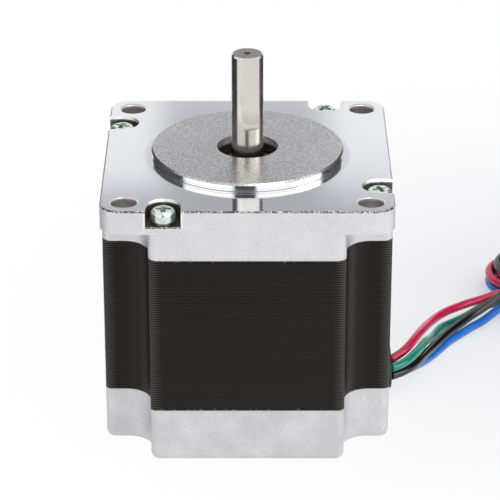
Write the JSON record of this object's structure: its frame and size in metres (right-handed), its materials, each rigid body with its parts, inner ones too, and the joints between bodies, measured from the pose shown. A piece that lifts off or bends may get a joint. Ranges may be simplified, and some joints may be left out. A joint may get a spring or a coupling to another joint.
{
  "type": "stepper motor",
  "caption": "Square-flanged hybrid stepper motor with a pilot boss, a D-cut shaft, a laminated body and bare-ended flying leads.",
  "frame": {"origin": "on the shaft axis, in the flange's mounting face", "axes": "+Z out along the shaft, +X towards the side where the leads come out, -Y towards the picture's viewer"},
  "size_m": [0.135, 0.0849, 0.0752],
  "materials": {
    "cast_aluminium": "die cast, ground flat on the mounting face, turned on the boss",
    "lamination_steel": "blackened sheet edges, satin",
    "zinc_plate": "zinc plated, bright",
    "shaft_steel": "ground",
    "rotor_steel": "ground on the tooth tips",
    "magnet": "sintered",
    "bobbin_nylon": "moulded",
    "copper_wire": "enamelled windings",
    "spring_steel": "rolled",
    "bearing_steel": "polished",
    "cage_nylon": "moulded",
    "grommet_rubber": "matte",
    "sheath_red": "soft sheen",
    "sheath_green": "soft sheen",
    "sheath_blue": "soft sheen",
    "sheath_black": "soft sheen",
    "tinned_copper": "tinned strands"
  },
  "bodies": {
    "housing": {"front_cap": "cast_aluminium", "stator_stack": "lamination_steel", "rear_cap": "cast_aluminium", "case_screws": "zinc_plate", "front_bobbin": "bobbin_nylon", "rear_bobbin": "bobbin_nylon", "coils_phase_a": "copper_wire", "coils_phase_b": "copper_wire", "front_outer_race": "bearing_steel", "front_shields": "spring_steel", "rear_outer_race": "bearing_steel", "rear_shields": "spring_steel", "wave_washer": "spring_steel", "lead_grommet": "grommet_rubber", "lead_red": "sheath_red", "lead_green": "sheath_green", "lead_blue": "sheath_blue", "lead_black": "sheath_black", "lead_red_coil": "sheath_red", "lead_green_coil": "sheath_green", "lead_blue_coil": "sheath_blue", "lead_black_coil": "sheath_black", "lead_red_tip": "tinned_copper", "lead_green_tip": "tinned_copper", "lead_blue_tip": "tinned_copper", "lead_black_tip": "tinned_copper"},
    "rotor": {"shaft": "shaft_steel", "rotor_cup_front": "rotor_steel", "rotor_cup_rear": "rotor_steel", "rotor_magnet": "magnet", "front_inner_race": "bearing_steel", "rear_inner_race": "bearing_steel"},
    "front_ball_set": {"front_balls": "bearing_steel", "front_cage": "cage_nylon"},
    "rear_ball_set": {"rear_balls": "bearing_steel", "rear_cage": "cage_nylon"}
  },
  "joints": [
    {"name": "rotor_spin", "type": "hinge", "parent": "housing", "child": "rotor", "pos_m": [0, 0, 0], "axis": [0, 0, 1], "continuous": true},
    {"name": "front_ball_set_spin", "type": "hinge", "parent": "housing", "child": "front_ball_set", "pos_m": [0, 0, -0.00507], "axis": [0, 0, 1], "continuous": true},
    {"name": "rear_ball_set_spin", "type": "hinge", "parent": "housing", "child": "rear_ball_set", "pos_m": [0, 0, -0.04793], "axis": [0, 0, 1], "continuous": true}
  ],
  "couplings": [
    {"joint": "front_ball_set_spin", "follows": "rotor_spin", "ratio": 0.34375},
    {"joint": "rear_ball_set_spin", "follows": "rotor_spin", "ratio": 0.34375}
  ]
}
